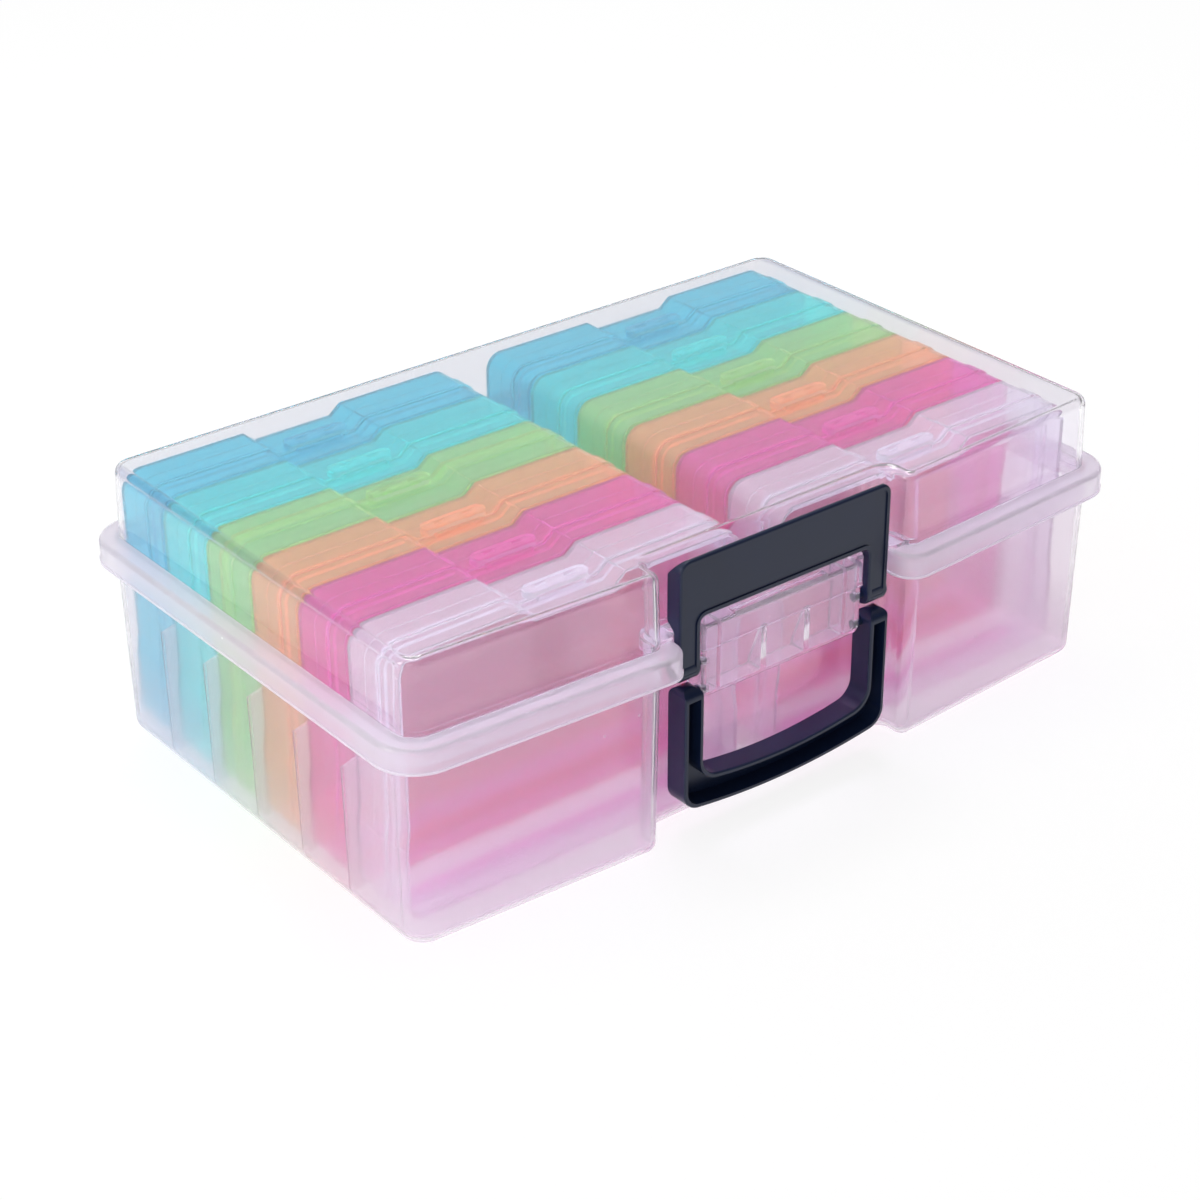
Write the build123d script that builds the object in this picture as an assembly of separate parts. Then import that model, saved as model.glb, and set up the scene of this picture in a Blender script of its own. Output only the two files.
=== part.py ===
"""Photo keeper case: a clear carrying case with a hinged lid, a dark latch and
carrying handle on the front, and twelve two-shell photo cases standing inside.

Millimetres, +Z up.  The origin is the middle of the resting face, under the centre
of the rim; +X runs along the front, -Y faces the user.
"""
import math
import os

from build123d import *

os.makedirs("parts", exist_ok=True)

# ---------------------------------------------------------------- driving dimensions
# Rim band, the widest part of the case
rim_width = 384.0
rim_depth = 240.8            # back edge to the front of the pods beside the recess
rim_top = 94.0
rim_height = 10.7
rim_wall = 2.0
rim_bead = 0.4               # proud line along the bottom edge of the band
rim_bead_height = 1.0
rim_overhang = 7.5           # band face to tub wall
rim_edge_round = 2.2
rim_nose_round = 10.0

# The front is a very shallow V in plan, deepest in the middle
front_crown_gap = 3.1        # crown of the V in front of the pod noses

# Tub
tub_wall = 2.2
tub_floor = 3.0
tub_draft = 1.3              # inward lean of the wall from the rim down to the floor
tub_corner = 11.5
tub_bottom_round = 5.0
tub_floor_round = 2.5

# Recess in the middle of the front, where latch and handle live; depths are
# counted back from the front of the pods
recess_half = 66.0
recess_depth = 22.4
recess_ledge_depth = 16.1
nose_round = 6.0
recess_round = 4.0

# Bracket block in the recess, carrying both pivots
block_half = 43.8
block_set_in = 12.4
block_height = 33.4          # down from the top of the rim
block_wall = 1.8
block_end_wall = 2.6
block_setback = 0.7          # plate below the band sits back from the band
block_corner = 4.0
block_rib_x = 34.0
gusset_left = -9.9
gusset_right = 13.6
gusset_thick = 3.0
block_slot_half = 25.0
block_slot_depth = 3.9

# Lid
lid_height = 126.8
lid_wall = 2.0
lid_inset = 1.6              # lid wall back from the tub wall
lid_draft = 1.0
lid_recess_half = 64.6
lid_recess_step = 1.2        # lid recess wall behind the tub recess wall
lid_edge_round = 4.0
lid_flange = 1.6
lid_lip_depth = 4.0
lid_lip_wall = 1.4
lid_lip_stop = 14.0          # the lip ends this far before the back wall
lid_foot_reach = 11.4        # clear feet beside the latch, at the recess corners
lid_foot_width = 7.0
catch_half = 30.0
catch_proud = 2.2
catch_rise = 7.5             # foot of the catch bead above the top of the rim
catch_height = 3.0
catch_crest_low = 0.27       # the flat crest of the bead, as shares of its height
catch_crest_high = 0.6

# Clearances
seam_gap = 0.4
slip_gap = 0.4
pin_gap = 0.06

# Rear hinges
hinge_x = 110.0
hinge_set_in = 3.0           # axis in front of the back edge of the rim
hinge_set_down = 3.4
hinge_arm_half = 13.0
hinge_barrel_radius = 2.7
hinge_pin_radius = 1.5
hinge_lug = 4.0

# Latch
latch_half = 56.3
latch_leg = 10.9
latch_set_in = 11.6
latch_depth = 8.0
latch_top_drop = 0.2         # below the top of the lid
latch_top_land = 2.0         # level strip behind the top edge
latch_top_fall = 6.8         # drop of the sloped top to the back
latch_opening_rise = 5.6     # top of the opening above the top of the rim
latch_opening_round = 3.0
latch_wall = 1.8
latch_dish = 0.6
latch_frame = 2.2            # width of the raised frame round the dish
latch_edge_round = 1.0
latch_leg_depth = 3.7
latch_corner = 5.0
latch_boss = 4.6
latch_heel_round = 3.5
latch_pivot_drop = 17.0

# Handle
handle_half = 55.3
handle_leg = 9.9
handle_set_in = 8.8
handle_depth = 10.8
handle_head = 5.4            # top of the legs above the pivot
handle_head_round = 5.0
handle_bottom_mid = 9.8
handle_bottom_end = 14.4
handle_bar = 13.4
handle_bend = 9.0
handle_wall = 1.8
handle_floor = 2.4
handle_edge_round = 0.9
handle_heel_round = 4.0      # along the back of the bar, underneath
handle_shoulder_out = 3.0
handle_shoulder_in = 4.6
handle_channel_drop = 5.2    # closed end of the channel below the top of the legs
handle_pivot_set_back = 7.2
handle_pivot_drop = 29.8
stub_radius = 2.0
stub_reach = 4.9

# Photo cases
case_headroom = 3.8          # free height under the lid
case_aisle = 20.0            # free width between the two columns
case_side_gap = 4.8
case_front_gap = 4.5
case_back_gap = 4.0
case_row_gap = 1.8
case_wall = 1.3
case_corner = 8.5
case_rim_proud = 0.7
case_rim_width = 8.0
case_cover_depth = 11.3
case_shell_gap = 0.15
case_lip_depth = 2.6
case_notch_top = 48.5
case_notch_floor = 37.0
case_notch_depth = 4.5
case_waist = 1.2
case_waist_low = 33.0
case_waist_high = 80.0
case_waist_slope = 9.0
tab_length = 31.0
tab_width = 6.8
tab_height = 3.0
tab_slot_length = 5.0
tab_slot_width = 1.4
mark_radius = 2.4

# Divider fins on the side walls and spacer ribs along the floor
fin_thick = 1.2
fin_reach = 9.0
fin_top = 63.5
fin_slope = 2.5
spacer_x = 8.2
spacer_height = 9.0
spacer_wall = 1.5

rows = ["lavender", "magenta", "orange", "green", "teal", "blue"]
columns = {"left": -1, "right": 1}
turned_round = ["left_green"]

# ---------------------------------------------------------------- derived positions
rim_half = rim_width / 2
rim_back = rim_depth / 2
rim_bottom = rim_top - rim_height
tub_half = rim_half - rim_overhang
tub_back = rim_back - rim_overhang
rim_crown = -rim_back - front_crown_gap
tub_crown = rim_crown + rim_overhang
front_slope = front_crown_gap / (recess_half - rim_overhang)
recess_wall_y = recess_depth - rim_back
rim_recess_y = recess_ledge_depth - rim_back
block_front = block_set_in - rim_back
block_bottom = rim_top - block_height

lid_bottom = rim_top + seam_gap
lid_recess_y = recess_wall_y + lid_recess_step
catch_low = rim_top + catch_rise
catch_high = catch_low + catch_height
hinge_y = rim_back - hinge_set_in
hinge_z = rim_top - hinge_set_down

latch_front = latch_set_in - rim_back
latch_back = latch_front + latch_depth
latch_top = lid_height - latch_top_drop
latch_opening_top = rim_top + latch_opening_rise
latch_pivot_y = latch_front + latch_boss
latch_pivot_z = rim_top - latch_pivot_drop
latch_bottom = latch_pivot_z - latch_boss
handle_front = handle_set_in - rim_back
handle_back = handle_front + handle_depth
handle_pivot_y = handle_front + handle_pivot_set_back
handle_pivot_z = rim_top - handle_pivot_drop
handle_top = handle_pivot_z + handle_head

case_height = lid_height - lid_wall - case_headroom - tub_floor
case_length = tub_half - tub_wall - case_side_gap - case_aisle / 2
case_column_x = (case_aisle + case_length) / 2
case_front_y = recess_wall_y + tub_wall + case_front_gap
case_back_y = tub_back - tub_wall - case_back_gap
case_pitch = (case_back_y - case_front_y + case_row_gap) / len(rows)
case_thick = case_pitch - case_row_gap


# ---------------------------------------------------------------- plan outlines
def case_plan(half, back, crown, recess, recess_y, corner, nose=nose_round,
              nook=recess_round, bump=None):
    """Corners (x, y, radius) of a plan outline, counter-clockwise from back right."""
    def front(x):
        return crown + front_slope * abs(x)
    middle = []
    if bump:
        bump_half, bump_y = bump
        middle = [(-bump_half, recess_y, 0.9), (-bump_half, bump_y, 2.5),
                  (bump_half, bump_y, 2.5), (bump_half, recess_y, 0.9)]
    return [(half, back, corner),
            (-half, back, corner),
            (-half, front(half), corner),
            (-recess, front(recess), nose),
            (-recess, recess_y, nook),
            *middle,
            (recess, recess_y, nook),
            (recess, front(recess), nose),
            (half, front(half), corner)]


def grown(corners, distance):
    """The same outline moved outward by a distance; round corners stay concentric."""
    count = len(corners)
    result = []
    for i, (x, y, radius) in enumerate(corners):
        px, py, _ = corners[i - 1]
        nx, ny, _ = corners[(i + 1) % count]
        ax, ay = x - px, y - py
        bx, by = nx - x, ny - y
        la, lb = math.hypot(ax, ay), math.hypot(bx, by)
        n1 = (ay / la, -ax / la)
        n2 = (by / lb, -bx / lb)
        turn = ax * by - ay * bx
        scale = distance / (1 + n1[0] * n2[0] + n1[1] * n2[1])
        moved = (x + (n1[0] + n2[0]) * scale, y + (n1[1] + n2[1]) * scale)
        bend = radius + distance if turn > 0 else radius - distance
        result.append((*moved, max(bend, 0.6)))
    return result


def outline(corners, z=0.0):
    """A flat face with rounded corners at height z."""
    count = len(corners)
    starts, ends, middles = [], [], []
    for i, (x, y, radius) in enumerate(corners):
        here = Vector(x, y)
        before = Vector(*corners[i - 1][:2])
        after = Vector(*corners[(i + 1) % count][:2])
        to_before = (before - here).normalized()
        to_after = (after - here).normalized()
        half_angle = to_before.get_angle(to_after) / 2
        run = radius / math.tan(math.radians(half_angle))
        centre_way = (to_before + to_after).normalized()
        centre = here + centre_way * (radius / math.sin(math.radians(half_angle)))
        starts.append(here + to_before * run)
        ends.append(here + to_after * run)
        middles.append(centre - centre_way * radius)
    edges = []
    for i in range(count):
        edges.append(Edge.make_three_point_arc(starts[i], middles[i], ends[i]))
        edges.append(Edge.make_line(ends[i], starts[(i + 1) % count]))
    face = Face(Wire(edges))
    return face.moved(Location((0, 0, z)))


def prism(corners, z0, z1):
    return Solid.extrude(outline(corners, z0), Vector(0, 0, z1 - z0))


def drafted(corners, shrink, z0, z1):
    """Straight walls leaning from the outline shrunk at z0 to the outline at z1."""
    low = outline(grown(corners, -shrink[0]), z0)
    high = outline(grown(corners, -shrink[1]), z1)
    return Solid.make_loft([low.outer_wire(), high.outer_wire()], ruled=True)


def box(x0, x1, y0, y1, z0, z1):
    return Pos((x0 + x1) / 2, (y0 + y1) / 2, (z0 + z1) / 2) * Box(x1 - x0, y1 - y0, z1 - z0)


def rod(x0, x1, y, z, radius):
    """Round bar along X."""
    return Pos((x0 + x1) / 2, y, z) * Rot(0, 90, 0) * Cylinder(radius, x1 - x0)


def yz_prism(points, x0, x1):
    """Prism along X from a polygon given as (y, z)."""
    face = Face(Wire.make_polygon([Vector(x0, y, z) for y, z in points]))
    return Solid.extrude(face, Vector(x1 - x0, 0, 0))


def xz_prism(face_points, y0, y1):
    """Prism along Y from a polygon given as (x, z)."""
    face = Face(Wire.make_polygon([Vector(x, y0, z) for x, z in face_points]))
    return Solid.extrude(face, Vector(0, y1 - y0, 0))


def edges_at(shape, z, tolerance=0.01):
    """Edges lying flat at height z."""
    return shape.edges().filter_by(
        lambda e: abs(e.bounding_box().min.Z - z) < tolerance
        and abs(e.bounding_box().max.Z - z) < tolerance)


def save(shape, name):
    shape.label = name
    export_step(shape, f"parts/{name}.step")


# ---------------------------------------------------------------- tub
tub_plan = case_plan(tub_half, tub_back, tub_crown, recess_half, recess_wall_y, tub_corner)
rim_plan = case_plan(rim_half - rim_bead, rim_back - rim_bead, rim_crown + rim_bead,
                     recess_half - rim_overhang, rim_recess_y,
                     tub_corner + rim_overhang, nose=rim_nose_round,
                     nook=1.2, bump=(block_half, block_front))
lid_plan = case_plan(tub_half - lid_inset, tub_back - lid_inset, tub_crown + lid_inset,
                     lid_recess_half, lid_recess_y, tub_corner - lid_inset)


def tub_shrink(z):
    """How far the tub wall has leaned in at height z."""
    return tub_draft * (1 - z / rim_bottom)


def make_tub_shell():
    """Drafted tub with a rounded bottom edge and an even wall."""
    low, high = tub_shrink(0), tub_shrink(rim_top)
    body = drafted(tub_plan, (low, high), 0, rim_top)
    body = fillet(edges_at(body, 0), tub_bottom_round)
    floor_shrink = tub_shrink(tub_floor) + tub_wall
    cavity = drafted(tub_plan, (floor_shrink, high + tub_wall), tub_floor, rim_top)
    cavity = fillet(edges_at(cavity, tub_floor), tub_floor_round)
    return body, cavity


def make_rim():
    """Outward ledge with a down-turned skirt and a bead along its bottom edge."""
    band = prism(rim_plan, rim_bottom, rim_top)
    band = fillet(edges_at(band, rim_top), rim_edge_round)
    band += prism(grown(rim_plan, rim_bead), rim_bottom, rim_bottom + rim_bead_height)
    hollow = prism(grown(rim_plan, -rim_wall), rim_bottom, rim_top - rim_wall)
    return band - hollow


def make_block():
    """Bracket below the band: front plate, shelf, end walls, ribs and gussets."""
    half = block_half - block_setback
    front = block_front + block_setback
    back = recess_wall_y + tub_draft
    top = rim_top - rim_wall / 2
    outer = box(-half, half, front, back, block_bottom, top)
    outer = fillet(outer.edges().filter_by(Axis.Y).group_by(Axis.Z)[0], block_corner)
    outer = fillet(outer.edges().filter_by(Axis.Z).group_by(Axis.Y)[0], 1.6)
    inner = box(-half + block_end_wall, half - block_end_wall, front + block_wall, back,
                block_bottom + block_wall, rim_top - rim_wall)
    block = outer - inner
    for side in (-1, 1):
        rib_x = side * block_rib_x
        block += box(rib_x - 1, rib_x + 1, front + block_wall / 2, back,
                     block_bottom + block_wall / 2, top)
    for x in (gusset_left, gusset_right):
        block += make_gusset(x, front + block_wall / 2, back)
    return block


def make_gusset(x, front, back):
    """Triangular web with a round nose, leaning on the front plate."""
    radius = gusset_thick / 2
    low = block_bottom + block_wall / 2
    nose = Pos(x, (front + back) / 2, rim_bottom - radius) * Rot(90, 0, 0) * Cylinder(
        radius, back - front)
    web = box(x - radius, x + radius, front, back, low, rim_bottom - radius) + nose
    side = yz_prism([(front, low), (back, low), (front + block_wall, rim_bottom),
                     (front, rim_bottom)], x - gusset_thick, x + gusset_thick)
    return web & side


def cut_block_openings(tub):
    """Catch slot through the ledge and bearing holes for the four stub pins."""
    slot_front = block_front + rim_wall + slip_gap
    tub -= box(-block_slot_half, block_slot_half, slot_front, slot_front + block_slot_depth,
               rim_top - rim_wall - 1, rim_top + 1)
    for side in (-1, 1):
        near = side * (block_half - block_end_wall - 2)
        far = side * (block_half + 2)
        x0, x1 = min(near, far), max(near, far)
        for y, z in ((latch_pivot_y, latch_pivot_z), (handle_pivot_y, handle_pivot_z)):
            tub -= rod(x0, x1, y, z, stub_radius + pin_gap)
    return tub


def make_fins():
    """Thin plates on both side walls that slot between neighbouring cases."""
    fins = []
    for k in range(len(rows) - 1):
        y = case_front_y + case_thick + (case_pitch - case_thick) / 2 + k * case_pitch
        wall = tub_half - tub_wall / 2
        tip = wall - fin_reach
        for side in (-1, 1):
            points = [(side * wall, tub_floor - 1), (side * tip, tub_floor - 1),
                      (side * tip, fin_top), (side * wall, fin_top - fin_slope)]
            fins.append(xz_prism(points, y - fin_thick / 2, y + fin_thick / 2))
    return fins


def make_spacers():
    """Two low ribs along the floor that keep the columns of cases apart."""
    length_front = case_front_y + 4
    length_back = case_back_y - 4
    return [box(side * spacer_x - spacer_wall / 2, side * spacer_x + spacer_wall / 2,
                length_front, length_back, tub_floor - 1, tub_floor + spacer_height)
            for side in (-1, 1)]


def cut_hinge_notch(tub, x):
    """Open the rim for a lid arm and stand a lug with a pin hole on each side."""
    reach = hinge_arm_half + slip_gap
    tub -= box(x - reach, x + reach, tub_back + 0.3, rim_back + 1, rim_bottom - 1, rim_top + 1)
    lug_front = tub_back - tub_wall / 2
    for side in (-1, 1):
        inner = x + side * reach
        outer = inner + side * hinge_lug
        tub += box(min(inner, outer), max(inner, outer), lug_front, rim_back - 1.2,
                   rim_bottom + 1.5, rim_top - rim_wall / 2)
    tub -= rod(x - reach - hinge_lug + 0.8, x + reach + hinge_lug - 0.8,
               hinge_y, hinge_z, hinge_pin_radius)
    return tub


def make_tub():
    body, cavity = make_tub_shell()
    tub = body + make_rim() + make_block()
    tub -= cavity
    side_parts = [fin & body for fin in make_fins()]
    for part in side_parts + make_spacers():
        tub += part
    tub = cut_block_openings(tub)
    for x in (-hinge_x, hinge_x):
        tub = cut_hinge_notch(tub, x)
    return tub


# ---------------------------------------------------------------- lid
def make_lid_arm(x):
    """Arm over the rim with a barrel on the hinge axis."""
    x0, x1 = x - hinge_arm_half, x + hinge_arm_half
    wall_y = tub_back - lid_inset - lid_wall / 2
    arm_top = lid_bottom + 3.0
    tail = hinge_y + hinge_barrel_radius
    arm = yz_prism([(wall_y, lid_bottom), (wall_y, arm_top), (tail - 2.5, arm_top),
                    (tail, arm_top - 2.5), (tail, hinge_z), (hinge_y, hinge_z),
                    (hinge_y - hinge_barrel_radius, lid_bottom)], x0, x1)
    arm += rod(x0, x1, hinge_y, hinge_z, hinge_barrel_radius)
    return arm - rod(x0 - 1, x1 + 1, hinge_y, hinge_z, hinge_pin_radius + pin_gap)


def make_lid():
    """Drafted cover, nesting lip, corner feet, catch bead and hinge arms."""
    outer = drafted(lid_plan, (0, lid_draft), lid_bottom, lid_height)
    outer = fillet(edges_at(outer, lid_height), lid_edge_round)
    ceiling = lid_height - lid_wall
    inner = drafted(lid_plan, (lid_wall, lid_wall + lid_draft), lid_bottom, ceiling)
    inner = fillet(edges_at(inner, ceiling), lid_edge_round - lid_wall)
    lip_shrink = tub_shrink(rim_top) + tub_wall + slip_gap
    lip_outer = grown(tub_plan, -lip_shrink)
    lip_inner = grown(tub_plan, -lip_shrink - lid_lip_wall)
    flange = prism(lid_plan, lid_bottom, lid_bottom + lid_flange)
    lip = prism(lip_outer, lid_bottom - lid_lip_depth, lid_bottom + lid_flange / 2)
    lip_hole = prism(lip_inner, lid_bottom - lid_lip_depth - 1, lid_bottom + lid_flange + 1)
    back_cut = box(-rim_half, rim_half, tub_back - lid_lip_stop, rim_back,
                   lid_bottom - 2 * lid_lip_depth, lid_bottom)
    lid = (outer - inner) + (flange - lip_hole) + (lip - lip_hole - back_cut)
    for side in (-1, 1):
        near = side * (lid_recess_half - lid_foot_width)
        far = side * (lid_recess_half + 1)
        foot = box(min(near, far), max(near, far), lid_recess_y - lid_foot_reach,
                   lid_recess_y + 1, lid_bottom, lid_bottom + lid_flange)
        tip = foot.edges().filter_by(Axis.Z).group_by(Axis.Y)[0]
        lid += fillet(tip.sort_by(lambda e: abs(e.center().X))[0], 3.0)
    root = lid_recess_y + lid_wall / 2
    tip = lid_recess_y - catch_proud
    lid += yz_prism([(root, catch_low), (tip, catch_low + catch_height * catch_crest_low),
                     (tip, catch_low + catch_height * catch_crest_high), (root, catch_high)],
                    -catch_half, catch_half)
    for x in (-hinge_x, hinge_x):
        lid += make_lid_arm(x)
    return lid


# ---------------------------------------------------------------- latch
def u_face(shrink, bottom, y):
    """Upside-down U in the XZ plane, the latch outline shrunk by a frame width."""
    half = latch_half - shrink
    inner = latch_half - latch_leg + shrink
    top, opening = latch_top - shrink, latch_opening_top + shrink
    points = [(-half, bottom), (-inner, bottom), (-inner, opening), (inner, opening),
              (inner, bottom), (half, bottom), (half, top), (-half, top)]
    face = Face(Wire.make_polygon([Vector(x, y, z) for x, z in points]))
    tops = [v for v in face.vertices() if abs(v.Z - top) < 0.01]
    face = face.fillet_2d(latch_corner - shrink, tops)
    nooks = [v for v in face.vertices() if abs(v.Z - opening) < 0.01]
    return face.fillet_2d(latch_opening_round + shrink, nooks)


def latch_side():
    """Side outline: sloped top, deep skirt, slim legs with a round heel."""
    leg_back = latch_front + latch_leg_depth
    shelf = lid_bottom + 2 * seam_gap
    bends = [((latch_front, latch_bottom), latch_heel_round),
             ((leg_back, latch_bottom), 0),
             ((leg_back, shelf), 2.5),
             ((latch_back, shelf + latch_leg_depth), 2.5),
             ((latch_back, latch_top - latch_top_fall), 1.0),
             ((latch_front + latch_top_land, latch_top), 1.0),
             ((latch_front, latch_top), 0)]
    face = Face(Wire.make_polygon([Vector(-latch_half, y, z) for (y, z), _ in bends]))
    for (y, z), radius in bends:
        if radius:
            corner = [v for v in face.vertices()
                      if abs(v.Y - y) < 0.01 and abs(v.Z - z) < 0.01]
            face = face.fillet_2d(radius, corner)
    return Solid.extrude(face, Vector(2 * latch_half, 0, 0))


def latch_hollow():
    """Space behind the plate, open to the back, under a roof of even thickness."""
    front = latch_front + latch_dish + latch_wall
    reach = latch_front + 2 * latch_depth
    run = latch_depth - latch_top_land
    slope = latch_top_fall / run
    roof = latch_wall * math.hypot(run, latch_top_fall) / run
    top = latch_top - roof - slope * (latch_dish + latch_wall - latch_top_land)
    low = rim_bottom + seam_gap
    hollow = Solid.extrude(u_face(latch_wall, low, front), Vector(0, reach - front, 0))
    return hollow & yz_prism([(front, low), (reach, low), (reach, top - slope * (reach - front)),
                              (front, top)], -latch_half, latch_half)


def make_latch():
    """Dished inverted-U plate; skirt cut back where the legs pass the band."""
    plate = u_face(0, latch_bottom, latch_front)
    solid = Solid.extrude(plate, Vector(0, latch_depth, 0)) & latch_side()
    rims = solid.edges().filter_by(lambda e: abs(e.center().Y - latch_front) < 0.01
                                   and e.center().Z > latch_bottom + latch_heel_round + 1)
    solid = fillet(rims, latch_edge_round)
    dish = u_face(latch_frame, latch_bottom + latch_heel_round, latch_front)
    solid -= Solid.extrude(dish, Vector(0, latch_dish, 0))
    solid -= latch_hollow()
    inner = latch_half - latch_leg
    for side in (-1, 1):
        a, b = side * inner, side * latch_half
        solid += rod(min(a, b), max(a, b), latch_pivot_y, latch_pivot_z, latch_boss)
        c = side * (inner - stub_reach)
        solid += rod(min(a, c), max(a, c), latch_pivot_y, latch_pivot_z, stub_radius)
    hook_tip = lid_recess_y - catch_proud - seam_gap
    hook_low = catch_high + seam_gap / 2
    solid += box(-catch_half + 4, catch_half - 4, latch_front + latch_dish + 1, hook_tip,
                 hook_low, hook_low + latch_wall)
    return solid


# ---------------------------------------------------------------- handle
def handle_face(inset, top, y):
    """U hanging from the pivots, its bar bowed a little downward."""
    half = handle_half - inset
    inner = handle_half - handle_leg + inset
    low_end = handle_bottom_end + inset
    low_mid = handle_bottom_mid + inset
    up_end = handle_bottom_end + handle_bar - inset
    up_mid = handle_bottom_mid + handle_bar - inset
    below = Edge.make_three_point_arc(Vector(-half, y, low_end), Vector(0, y, low_mid),
                                      Vector(half, y, low_end))
    above = Edge.make_three_point_arc(Vector(inner, y, up_end), Vector(0, y, up_mid),
                                      Vector(-inner, y, up_end))
    face = Face(Wire([
        Edge.make_line(Vector(-half, y, top), below @ 0), below,
        Edge.make_line(below @ 1, Vector(half, y, top)),
        Edge.make_line(Vector(half, y, top), Vector(inner, y, top)),
        Edge.make_line(Vector(inner, y, top), above @ 0), above,
        Edge.make_line(above @ 1, Vector(-inner, y, top)),
        Edge.make_line(Vector(-inner, y, top), Vector(-half, y, top))]))
    bends = [v for v in face.vertices() if abs(v.Z - low_end) < 0.01]
    face = face.fillet_2d(handle_bend - inset, bends)
    nooks = [v for v in face.vertices() if abs(v.Z - up_end) < 0.01]
    return face.fillet_2d(handle_bend + inset, nooks)


def make_handle():
    """Channel-section grip, open to the front, on two stub pins."""
    solid = Solid.extrude(handle_face(0, handle_top, handle_front), Vector(0, handle_depth, 0))
    shoulders = solid.edges().filter_by(Axis.Y).group_by(Axis.Z)[-1].sort_by(
        lambda e: abs(e.center().X))
    solid = fillet(shoulders[:2], handle_shoulder_in)
    shoulders = solid.edges().filter_by(
        lambda e: abs(e.center().Z - handle_top) < 0.01
        and abs(abs(e.center().X) - handle_half) < 0.01)
    solid = fillet(shoulders, handle_shoulder_out)
    solid = fillet(solid.edges().filter_by(lambda e: abs(e.center().Y - handle_front) < 0.01),
                   handle_edge_round)
    low = handle_bottom_mid - 0.5
    reach = handle_half + 1
    profile = Face(Wire.make_polygon([Vector(-reach, y, z) for y, z in (
        (handle_front, low), (handle_back, low), (handle_back, handle_top),
        (handle_front, handle_top))]))
    tops = [v for v in profile.vertices() if v.Z > handle_top - 0.1]
    profile = profile.fillet_2d(handle_head_round, tops)
    heel = [v for v in profile.vertices()
            if v.Z < handle_bottom_mid and abs(v.Y - handle_back) < 0.01]
    profile = profile.fillet_2d(handle_heel_round, heel)
    solid = solid & Solid.extrude(profile, Vector(2 * reach, 0, 0))
    channel_top = handle_top - handle_channel_drop
    channel = Solid.extrude(handle_face(handle_wall, channel_top, handle_front - 1),
                            Vector(0, handle_depth - handle_floor + 1, 0))
    solid = solid - channel
    inner = handle_half - handle_leg
    for side in (-1, 1):
        a = side * (inner + 0.5)
        c = side * (inner - stub_reach)
        solid += rod(min(a, c), max(a, c), handle_pivot_y, handle_pivot_z, stub_radius)
    return solid


# ---------------------------------------------------------------- photo cases
def case_face(inset, y):
    """Side outline of a case: round corners, waisted ends, notch in the top."""
    half = case_length / 2 - inset
    high = case_height - inset
    dent = half - case_waist
    notch = case_height - case_notch_depth - inset
    wide = case_notch_top / 2 + inset * 0.5
    narrow = case_notch_floor / 2 + inset * 0.5
    right = [(half, inset), (half, case_waist_low), (dent, case_waist_low + case_waist_slope),
             (dent, case_waist_high - case_waist_slope), (half, case_waist_high),
             (half, high), (wide, high), (narrow, notch)]
    points = right + [(-x, z) for x, z in reversed(right)]
    face = Face(Wire.make_polygon([Vector(x, y, z) for x, z in points]))
    ends = [v for v in face.vertices() if abs(abs(v.X) - half) < 0.01
            and (abs(v.Z - inset) < 0.01 or abs(v.Z - high) < 0.01)]
    return face.fillet_2d(max(case_corner - inset, 1.0), ends)


def case_slab(inset, y0, y1):
    return Solid.extrude(case_face(inset, y0), Vector(0, y1 - y0, 0))


def make_tray():
    """Rear shell, open to the front, with a proud rim where the cover meets it."""
    seam = case_cover_depth + case_shell_gap
    rim_end = seam + case_rim_width
    body = case_slab(case_rim_proud, seam, case_thick) + case_slab(0, seam, rim_end)
    hollow = case_slab(case_rim_proud + case_wall, seam, case_thick - case_wall)
    return body - hollow


def make_cover():
    """Front shell with a nesting lip and the snap tab reaching over the tray rim."""
    lip_inset = case_rim_proud + case_wall + case_shell_gap
    lip_end = case_cover_depth + case_lip_depth
    lip_root = case_cover_depth - case_lip_depth
    body = case_slab(case_rim_proud, 0, case_cover_depth) + case_slab(lip_inset, lip_root, lip_end)
    body -= case_slab(case_rim_proud + case_wall, case_wall, lip_root)
    body -= case_slab(lip_inset + case_wall, lip_root, lip_end)
    seat = case_height - case_notch_depth
    middle = case_cover_depth - 1.4 + tab_width / 2
    pill = Pos(0, middle, seat + 0.3) * extrude(SlotOverall(tab_length, tab_width), tab_height)
    web = box(-tab_length / 2 + 4, tab_length / 2 - 4, case_cover_depth - 3, case_cover_depth,
              seat - case_rim_proud - 0.4, seat + 1)
    body += pill + web
    for side in (-1, 1):
        body -= Pos(side * 7.0, middle + 0.5, seat + tab_height - 0.5) * Box(
            tab_slot_length, tab_slot_width, 2.0)
    return body


def place_case(shape, side, row, turned):
    """Stand a shell in its column and row; a turned case shows its tray first."""
    y = case_front_y + row * case_pitch
    if turned:
        shape = Pos(0, case_thick, 0) * Rot(0, 0, 180) * shape
    return Pos(side * case_column_x, y, tub_floor) * shape


def make_cases():
    tray, cover = make_tray(), make_cover()
    end = -case_length / 2 + case_rim_proud
    ring = Pos(end, case_cover_depth / 2, case_height - 17) * Rot(0, 90, 0) * (
        Cylinder(mark_radius, 1.0) - Cylinder(mark_radius - 0.7, 2.0))
    for column, side in columns.items():
        for row, colour in enumerate(rows):
            name = f"{column}_{colour}"
            turned = name in turned_round
            lid_shell = cover + ring if name == "right_green" else cover
            save(place_case(tray, side, row, turned), f"tray_{name}")
            save(place_case(lid_shell, side, row, turned), f"cover_{name}")


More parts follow.
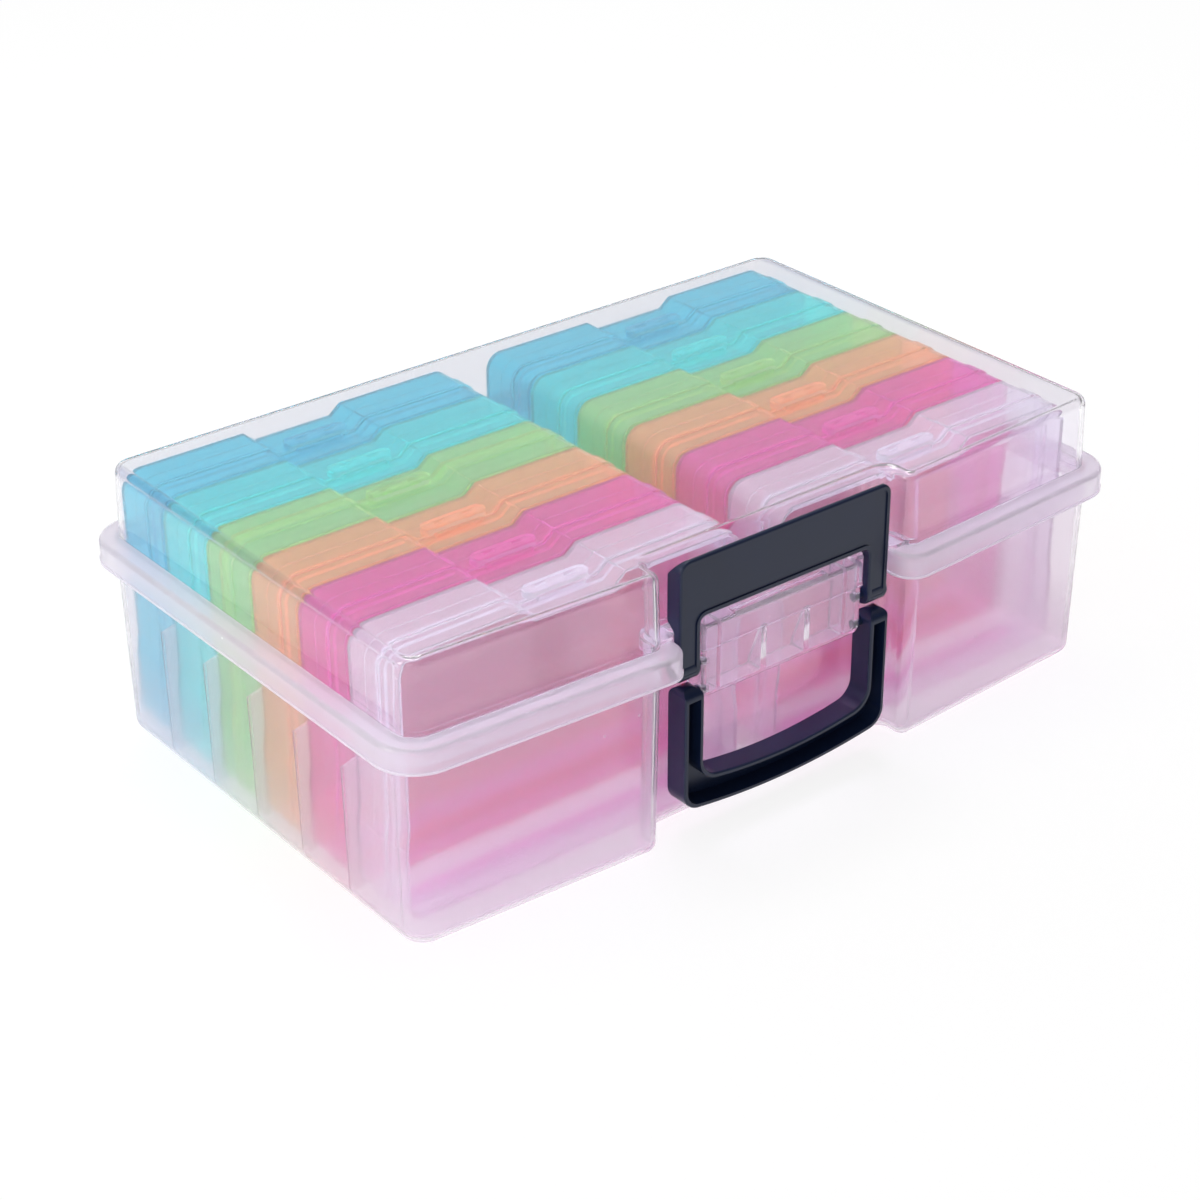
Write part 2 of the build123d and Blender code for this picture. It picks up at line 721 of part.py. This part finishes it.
# ---------------------------------------------------------------- write the parts
save(make_tub(), "tub")
save(make_lid(), "lid")
save(make_latch(), "latch")
save(make_handle(), "handle")
pin_half = hinge_arm_half + slip_gap + hinge_lug - 1.0
pins = [rod(x - pin_half, x + pin_half, hinge_y, hinge_z, hinge_pin_radius)
        for x in (-hinge_x, hinge_x)]
save(Compound(children=pins), "hinge_pins")
make_cases()
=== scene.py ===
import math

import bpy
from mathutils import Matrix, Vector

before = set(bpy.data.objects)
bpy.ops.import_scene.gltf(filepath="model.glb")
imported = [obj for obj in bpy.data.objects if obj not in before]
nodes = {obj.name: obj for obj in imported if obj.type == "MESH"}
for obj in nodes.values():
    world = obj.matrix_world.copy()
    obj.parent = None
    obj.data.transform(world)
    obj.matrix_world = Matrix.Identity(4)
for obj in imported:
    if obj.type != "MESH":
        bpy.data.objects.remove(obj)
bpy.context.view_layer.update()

# %% [markdown]
# The photo keeper case arrives as a imported CAD model: a clear tub and lid, a dark latch and
# handle, and twelve coloured photo cases. Its shapes and sizes are already right, so the work
# here is the look of the plastics, the light and the camera.

MM = 0.001

# %% [markdown]
# Three small helpers carry all the materials. Colours are written as the sRGB hex values a
# designer would read off a swatch, and Blender's shaders want linear numbers, so one function
# turns one into the other. Another starts an empty material, and the last adds a node with
# its settings and its links in one line, which keeps each material short enough to read.

# %% Colour and node helpers
def linear(hex_code, alpha=1.0):
    """An sRGB hex colour as linear red, green, blue and alpha."""
    channels = [int(hex_code[i:i + 2], 16) / 255 for i in (1, 3, 5)]
    return [c / 12.92 if c <= 0.04045 else ((c + 0.055) / 1.055) ** 2.4
            for c in channels] + [alpha]


def start_material(name):
    """A new material with an empty node tree."""
    material = bpy.data.materials.new(name)
    material.use_nodes = True
    material.node_tree.nodes.clear()
    return material


def add(material, kind, inputs=None, **settings):
    """Add a node; inputs are numbers, colours or the sockets to link from."""
    tree = material.node_tree
    node = tree.nodes.new(kind)
    for key, value in settings.items():
        setattr(node, key, value)
    for key, value in (inputs or {}).items():
        socket = node.inputs[key]
        if isinstance(value, bpy.types.NodeSocket):
            tree.links.new(value, socket)
        else:
            socket.default_value = value
    return node


print("helpers ready")

# %% [markdown]
# A moulded wall is not the same all over: the rim is thicker, the lower third is eroded, the
# fins are matt. A mask could be painted by hand for each, but it would need an image file and
# would have to be painted again when a size changes. Here the masks come from the place of
# the shaded point on the part, so a few bits of shader arithmetic do it. A span is a pair of
# places in millimetres, and the mask goes from zero at the first to one at the second.

# %% Shader arithmetic
def ramp(material, value, low, high, start=0.0, end=1.0):
    """A number that runs from start to end while the value runs from low to high."""
    return add(material, "ShaderNodeMapRange", {
        "Value": value, "From Min": low, "From Max": high,
        "To Min": start, "To Max": end}).outputs[0]


def joined(material, how, first, second):
    """Two numbers joined by a math operation."""
    return add(material, "ShaderNodeMath", {0: first, 1: second}, operation=how).outputs[0]


def size_of(material, value):
    """The number without its sign."""
    return add(material, "ShaderNodeMath", {0: value}, operation="ABSOLUTE").outputs[0]


def place_in(material):
    """X, Y and Z of the shaded point, in metres from the middle of the resting face."""
    coordinates = add(material, "ShaderNodeTexCoord").outputs["Object"]
    return add(material, "ShaderNodeSeparateXYZ", {0: coordinates}).outputs


def past(material, value, span):
    """Zero at the first place of a span and one at the second, which may lie either way."""
    return ramp(material, value, span[0] * MM, span[1] * MM)


def between(material, value, rise, fall):
    """One from the end of the rising span to the end of the falling one, and zero outside."""
    return joined(material, "MULTIPLY", past(material, value, rise),
                  past(material, value, fall))


print("shader arithmetic ready")

# %% [markdown]
# Two marks tell moulded plastic from glass. The melt sets in slow waves where it flowed, which
# bend what is seen through the wall, and it traps a few tiny bubbles. A slow noise gives the
# waves as a faint bump. The bubbles are cells of a Voronoi pattern, of which few are kept.

# %% Moulding marks
def moulded_ripple(material, length_mm, depth_mm):
    """A normal with the long soft waves that the melt leaves where it flowed."""
    coordinates = add(material, "ShaderNodeTexCoord").outputs["Object"]
    ripple = add(material, "ShaderNodeTexNoise", {
        "Vector": coordinates, "Scale": 1 / (length_mm * MM), "Detail": 1.0}).outputs["Fac"]
    return add(material, "ShaderNodeBump", {
        "Height": ripple, "Distance": depth_mm * MM, "Strength": 1.0}).outputs["Normal"]


def bubbles(material, spacing_mm, radius_mm, kept):
    """One inside each trapped bubble; kept is the share of cells that have one."""
    coordinates = add(material, "ShaderNodeTexCoord").outputs["Object"]
    cells = add(material, "ShaderNodeTexVoronoi", {
        "Vector": coordinates, "Scale": 1 / (spacing_mm * MM)}).outputs
    reach = radius_mm / spacing_mm
    near = ramp(material, cells["Distance"], reach, 0.6 * reach)
    chance = add(material, "ShaderNodeSeparateColor", {0: cells["Color"]}).outputs[0]
    return joined(material, "MULTIPLY", near, joined(material, "LESS_THAN", chance, kept))


print("moulding marks ready")

# %% [markdown]
# Injection-moulded polypropylene is clear but never quite: its crystals scatter some light,
# so a wall looks a little milky. A Principled shader with full transmission bends the light
# and gives the gloss, and a mix of diffuse and translucent white gives the milk. Lamps shine
# through a clear wall, so shadow rays meet a tinted Transparent shader instead. Volume
# scattering would be closer to the real thing, but it renders far more slowly and looks the
# same in walls this thin.

# %% The clear wall
PP_IOR = 1.49


def moulded_wall(material, body, veil, haze, roughness, normal, tint=None):
    """A clear wall with some milk in it, open to the light of the lamps."""
    clear = add(material, "ShaderNodeBsdfPrincipled", {
        "Base Color": tint or linear(body), "Roughness": roughness, "IOR": PP_IOR,
        "Transmission Weight": 1.0, "Normal": normal}).outputs[0]
    lit = add(material, "ShaderNodeBsdfDiffuse", {
        "Color": linear(veil), "Normal": normal}).outputs[0]
    through = add(material, "ShaderNodeBsdfTranslucent", {"Color": linear(veil)}).outputs[0]
    milk = add(material, "ShaderNodeMixShader", {0: 0.5, 1: lit, 2: through}).outputs[0]
    wall = add(material, "ShaderNodeMixShader", {0: haze, 1: clear, 2: milk}).outputs[0]
    lamp_ray = add(material, "ShaderNodeLightPath").outputs["Is Shadow Ray"]
    open_to_lamps = add(material, "ShaderNodeBsdfTransparent", {
        "Color": linear(body)}).outputs[0]
    shown = add(material, "ShaderNodeMixShader", {
        0: lamp_ray, 1: wall, 2: open_to_lamps}).outputs[0]
    add(material, "ShaderNodeOutputMaterial", {"Surface": shown})
    return material


print("clear wall ready")

# %% [markdown]
# The lid is the clearest piece. Where its top rounds over into its ends the wall is seen
# along its length, which darkens a narrow strip there. This darkening is a painted shade: the
# colour of the glassy part of the shader is tinted grey in that strip alone. The shade grows
# slowly from the front to the middle, because a strip that starts at once shows as a drawn
# line when the lid stands open.

# %% Clear lid
WAVE_LENGTH_MM, WAVE_DEPTH_MM = 60.0, 0.015
# The third colour is a painted shade for the round along both ends of the lid.
LID_BODY, LID_VEIL, LID_PAINTED_SHADE = "#fcfbfe", "#f6f4fa", "#d6d6e4"
LID_HAZE, LID_ROUGHNESS = 0.045, 0.06
STRIP_ACROSS, STRIP_UP, STRIP_BACK = (178.4, 179.0), (121.5, 123.0), (-112.0, 0.0)


def lid_plastic():
    """Thin polished walls, with a painted shade in the round along both ends."""
    material = start_material("clear_polypropylene_lid")
    place = place_in(material)
    # Painted shade: the glassy colour turns grey in a strip along the round of both ends.
    painted_shade_strip = joined(material, "MULTIPLY",
                   past(material, size_of(material, place["X"]), STRIP_ACROSS),
                   past(material, place["Z"], STRIP_UP))
    painted_shade_strip = joined(material, "MULTIPLY", painted_shade_strip, past(material, place["Y"], STRIP_BACK))
    tint = add(material, "ShaderNodeMix", {
        0: painted_shade_strip, 6: linear(LID_BODY), 7: linear(LID_PAINTED_SHADE)}, data_type="RGBA").outputs[2]
    return moulded_wall(material, LID_BODY, LID_VEIL, LID_HAZE, LID_ROUGHNESS,
                        moulded_ripple(material, WAVE_LENGTH_MM, WAVE_DEPTH_MM), tint)


clear_lid = lid_plastic()
print("made", clear_lid.name)

# %% [markdown]
# The tub is milkier than the lid. Its rim is thick, the fins between the cases are matt, and
# the lower third was eroded in the tool so that it grips. Each of these adds its own share of
# milk. The bead along the bottom of the rim gets a large share too, a painted highlight that
# draws it as a bright line.

# %% Where the tub is milky
POD_SIDES, RECESS_BACK, RIM_FOOT = (50.0, 58.0), (-95.0, -90.0), (83.0, 83.2)
BEAD_TOP = (84.5, 84.2)
FROST_DOWN = (45.0, 0.0)
FINS_ACROSS = (171.0, 172.0), (181.0, 180.4)
FINS_ALONG = (-91.0, -90.0), (107.0, 106.0)
FINS_UP = (3.1, 3.3), (66.0, 65.0)


def on_rim(material, place, across):
    """One on the rim band, apart from the ledge in the recess."""
    around = joined(material, "MAXIMUM", past(material, across, POD_SIDES),
                    past(material, place["Y"], RECESS_BACK))
    return joined(material, "MULTIPLY", around, past(material, place["Z"], RIM_FOOT))


def on_fins(material, place, across):
    """One on the fins inside both ends."""
    fins = joined(material, "MULTIPLY", between(material, across, *FINS_ACROSS),
                  between(material, place["Z"], *FINS_UP))
    return joined(material, "MULTIPLY", fins, between(material, place["Y"], *FINS_ALONG))


print("tub frosted below", FROST_DOWN[0], "mm, rim from", RIM_FOOT[0], "mm up")

# %% Clear tub
TUB_BODY, TUB_VEIL = "#fbf8fc", "#e6e2e8"
TUB_HAZE = 0.09
# The bead's share of milk is a painted highlight: it draws a bright line along the bottom of
# the rim.
RIM_HAZE, BEAD_HIGHLIGHT_HAZE, FIN_HAZE, FROST_HAZE, BUBBLE_HAZE = 0.26, 0.60, 0.40, 0.22, 0.6
POLISHED, ERODED = 0.11, 0.28
BUBBLE_SPACING_MM, BUBBLE_RADIUS_MM, BUBBLES_KEPT = 16.0, 0.8, 0.12


def tub_plastic():
    """Clear walls, a milky thick rim, matt fins and a frosted lower third."""
    material = start_material("clear_polypropylene_tub")
    place = place_in(material)
    across = size_of(material, place["X"])
    rim = on_rim(material, place, across)
    # Painted highlight: extra milk on the bead at the foot of the rim, seen as a bright line.
    painted_bead_highlight = joined(material, "MULTIPLY", rim, past(material, place["Z"], BEAD_TOP))
    frost = past(material, place["Z"], FROST_DOWN)
    haze = joined(material, "MULTIPLY", frost, FROST_HAZE)
    for mask, share in ((rim, RIM_HAZE), (painted_bead_highlight, BEAD_HIGHLIGHT_HAZE),
                        (on_fins(material, place, across), FIN_HAZE)):
        haze = joined(material, "MAXIMUM", haze, joined(material, "MULTIPLY", mask, share))
    haze = joined(material, "ADD", haze, TUB_HAZE)
    trapped = bubbles(material, BUBBLE_SPACING_MM, BUBBLE_RADIUS_MM, BUBBLES_KEPT)
    haze = joined(material, "MAXIMUM", haze,
                  joined(material, "MULTIPLY", trapped, BUBBLE_HAZE))
    rough = ramp(material, frost, 0.0, 1.0, POLISHED, ERODED)
    return moulded_wall(material, TUB_BODY, TUB_VEIL, haze, rough,
                        moulded_ripple(material, WAVE_LENGTH_MM, WAVE_DEPTH_MM))


clear_tub = tub_plastic()
print("made", clear_tub.name)

# %% [markdown]
# The photo cases are dyed in the melt. Their big faces are polished so that the photographs
# can be seen, and their ends and tops are matt, so the milk follows the way a face looks. A
# ray crosses up to eight dyed walls in a row, so each wall is dyed far less than it seems.

# %% Coloured cases
CASE_ROUGHNESS, CASE_WAVE_MM = 0.08, 45.0
TURNED_AWAY, FACE_ON = 0.5, 0.9   # how far a face looks to the front or the back
CASE_COLOURS = {
    # seen through, scattered, milk on the big faces, milk on ends and top
    "lavender": ("#fbf9fe", "#efedf7", 0.05, 0.24),
    "magenta": ("#faa2e8", "#f27ad0", 0.07, 0.22),
    "orange": ("#ffe0c4", "#ffcaa2", 0.11, 0.24),
    "green": ("#dcf6c8", "#c4e8b0", 0.11, 0.22),
    "teal": ("#76fcf9", "#48eef0", 0.10, 0.18),
    "blue": ("#76eaf5", "#46d0e8", 0.10, 0.17),
}


def case_plastic(colour, body, veil, face_haze, edge_haze):
    """Coloured shell: polished big faces, matt ends and top."""
    material = start_material(f"{colour}_polypropylene")
    turn = add(material, "ShaderNodeNewGeometry").outputs["Normal"]
    facing = size_of(material, add(material, "ShaderNodeSeparateXYZ", {0: turn}).outputs["Y"])
    haze = ramp(material, facing, TURNED_AWAY, FACE_ON, edge_haze, face_haze)
    return moulded_wall(material, body, veil, haze, CASE_ROUGHNESS,
                        moulded_ripple(material, CASE_WAVE_MM, WAVE_DEPTH_MM))


case_plastics = {colour: case_plastic(colour, *looks) for colour, looks in CASE_COLOURS.items()}
print("made", len(case_plastics), "coloured plastics")

# %% [markdown]
# The latch and the handle are the same polypropylene with a dark blue-grey pigment, moulded
# in a finely eroded tool. The pigment stops the light, so this is a plain opaque Principled
# shader. The eroded grain is finer than a pixel here, so it is drawn at 0.8 mm.

# %% Dark pigmented polypropylene
GRAIN_MM, GRAIN_DEPTH_MM, CLOUD_MM = 0.8, 0.01, 22.0
GLOSSIER, DULLER = 0.26, 0.38
DARKER, LIGHTER = "#0f1a33", "#16223f"


def dark_polypropylene():
    """Opaque dark blue-grey with a fine grain and a slow change of gloss."""
    material = start_material("dark_moulded_polypropylene")
    coordinates = add(material, "ShaderNodeTexCoord").outputs["Object"]
    grain = add(material, "ShaderNodeTexNoise", {
        "Vector": coordinates, "Scale": 1 / (GRAIN_MM * MM), "Detail": 2.0}).outputs["Fac"]
    cloud = add(material, "ShaderNodeTexNoise", {
        "Vector": coordinates, "Scale": 1 / (CLOUD_MM * MM), "Detail": 2.0}).outputs["Fac"]
    normal = add(material, "ShaderNodeBump", {
        "Height": grain, "Distance": GRAIN_DEPTH_MM * MM}).outputs[0]
    rough = ramp(material, cloud, 0.0, 1.0, GLOSSIER, DULLER)
    tone = add(material, "ShaderNodeMix", {
        0: cloud, 6: linear(DARKER), 7: linear(LIGHTER)}, data_type="RGBA").outputs[2]
    skin = add(material, "ShaderNodeBsdfPrincipled", {
        "Base Color": tone, "Roughness": rough, "IOR": PP_IOR,
        "Specular IOR Level": 0.4, "Normal": normal}).outputs[0]
    add(material, "ShaderNodeOutputMaterial", {"Surface": skin})
    return material


dark_plastic = dark_polypropylene()
print("made", dark_plastic.name)

# %% [markdown]
# Each CAD node keeps its mesh and takes the plastic that the real piece is moulded in. The
# hinge pins are clear too, snapped through the lugs at the back.

# %% Dress the CAD nodes
def finish_for(node):
    """The plastic of a node, by its name."""
    if node in ("latch", "handle"):
        return dark_plastic
    if node in ("lid", "hinge_pins"):
        return clear_lid
    if node == "tub":
        return clear_tub
    return case_plastics[node.rsplit("_", 1)[1]]


for name, piece in nodes.items():
    for slot in piece.material_slots:
        slot.material = finish_for(name)
print("dressed", len(nodes), "nodes")

# %% [markdown]
# A studio on white: the case stands on a pale floor that runs out of sight. Rays from the
# camera, and those that pass through or mirror off the plastic, see the floor brightened
# to near white, while the painted part of it still keeps the soft shadow under the case.

# %% Floor
FLOOR_SIZE = 12.0
FLOOR_GLOW = 0.85

bpy.ops.object.select_all(action="DESELECT")
bpy.ops.mesh.primitive_plane_add(size=FLOOR_SIZE, location=(0, 0, 0))
floor = bpy.context.object
floor.name = "floor"


def seen_directly(material):
    """One for rays that carry the picture: from the camera, mirrored or through plastic."""
    path = add(material, "ShaderNodeLightPath").outputs
    seen = path["Is Camera Ray"]
    for extra in ("Is Glossy Ray", "Is Transmission Ray"):
        seen = joined(material, "MAXIMUM", seen, path[extra])
    return seen


floor_paint = start_material("matt_white_floor")
painted = add(floor_paint, "ShaderNodeBsdfDiffuse", {"Color": linear("#f4f4f4")}).outputs[0]
white = add(floor_paint, "ShaderNodeEmission", {"Color": (1, 1, 1, 1)}).outputs[0]
share = joined(floor_paint, "MULTIPLY", seen_directly(floor_paint), FLOOR_GLOW)
both = add(floor_paint, "ShaderNodeMixShader", {0: share, 1: painted, 2: white}).outputs[0]
add(floor_paint, "ShaderNodeOutputMaterial", {"Surface": both})
floor.data.materials.append(floor_paint)
print("floor ready")

# %% [markdown]
# Most of the light comes from the back and the left, as from a white wall there, and the
# front right falls off. A sky that changes slowly with direction does this more softly than
# lamps. It is weaker for mirrored rays, so that it doesn't wash out the colours behind the
# clear walls, and plain white to the camera.

# %% Sky
SKY_BACK_LEFT, SKY_FRONT_RIGHT, SKY_MIRRORED = 1.35, 0.05, 0.65
DIAGONAL = 1.4   # how far along the floor's diagonal a direction can reach, nearly

world = bpy.data.worlds.new("white_studio")
world.use_nodes = True
world.node_tree.nodes.clear()
way = add(world, "ShaderNodeTexCoord").outputs["Generated"]
way = add(world, "ShaderNodeSeparateXYZ", {0: way}).outputs
toward_back_left = joined(world, "SUBTRACT", way["Y"], way["X"])
soft = ramp(world, toward_back_left, -DIAGONAL, DIAGONAL, SKY_FRONT_RIGHT, SKY_BACK_LEFT)
rays = add(world, "ShaderNodeLightPath").outputs
mirrored = ramp(world, rays["Is Glossy Ray"], 0.0, 1.0, 1.0, SKY_MIRRORED)
soft = joined(world, "MULTIPLY", soft, mirrored)
strength = ramp(world, rays["Is Camera Ray"], 0.0, 1.0, soft, 1.0)
sky = add(world, "ShaderNodeBackground", {
    "Color": (1, 1, 1, 1), "Strength": strength}).outputs[0]
add(world, "ShaderNodeOutputWorld", {"Surface": sky})
bpy.context.scene.world = world
print("sky ready")

# %% [markdown]
# Three softboxes draw the edges: one on the left lights the rim and the ends of the cases,
# one above the back gives the highlights on the lid, and a weak one near the camera keeps
# the left half of the front a little brighter than the right.

# %% Lamps
def softbox(name, place, target, width, height, power):
    """A rectangular area light at a place, aimed at a target; metres and watts."""
    lamp = bpy.data.lights.new(name, "AREA")
    lamp.shape = "RECTANGLE"
    lamp.size, lamp.size_y, lamp.energy = width, height, power
    holder = bpy.data.objects.new(name, lamp)
    bpy.context.scene.collection.objects.link(holder)
    holder.location = place
    aim = Vector(target) - Vector(place)
    holder.rotation_euler = aim.to_track_quat("-Z", "Y").to_euler()
    return holder


lamps = [
    softbox("left_softbox", (-2.2, 0.3, 0.9), (0, 0, 0.06), 0.6, 0.8, 10.0),
    softbox("overhead_softbox", (0.2, 0.5, 1.6), (0, 0, 0.05), 0.7, 0.5, 13.0),
    softbox("front_softbox", (-1.0, -0.8, 0.6), (-0.15, 0, 0.06), 0.5, 0.5, 1.4),
]
print("lamps:", [lamp.name for lamp in lamps])

# %% [markdown]
# The camera looks down on the front left corner from about a metre away, with a short
# telephoto lens. A white case on white needs the plain Standard view, and clear plastic
# inside clear plastic needs far more bounces than the default, or its middle turns dark.

# %% Camera and view
CAMERA_PLACE = (-0.6508, -0.8022, 0.6200)
CAMERA_TURN = (60.8864, 0.2255, -38.7803)
LENS_MM = 81.18
SENSOR_MM = 36.0

camera_data = bpy.data.cameras.new("camera")
camera_data.lens = LENS_MM
camera_data.sensor_width = SENSOR_MM
camera = bpy.data.objects.new("camera", camera_data)
camera.location = CAMERA_PLACE
camera.rotation_euler = [math.radians(angle) for angle in CAMERA_TURN]
bpy.context.scene.collection.objects.link(camera)

scene = bpy.context.scene
scene.camera = camera
scene.view_settings.view_transform = "Standard"
scene.cycles.max_bounces = 48
scene.cycles.transmission_bounces = 48
scene.cycles.glossy_bounces = 12
scene.cycles.diffuse_bounces = 20
scene.cycles.transparent_max_bounces = 64
print("camera at", CAMERA_PLACE)
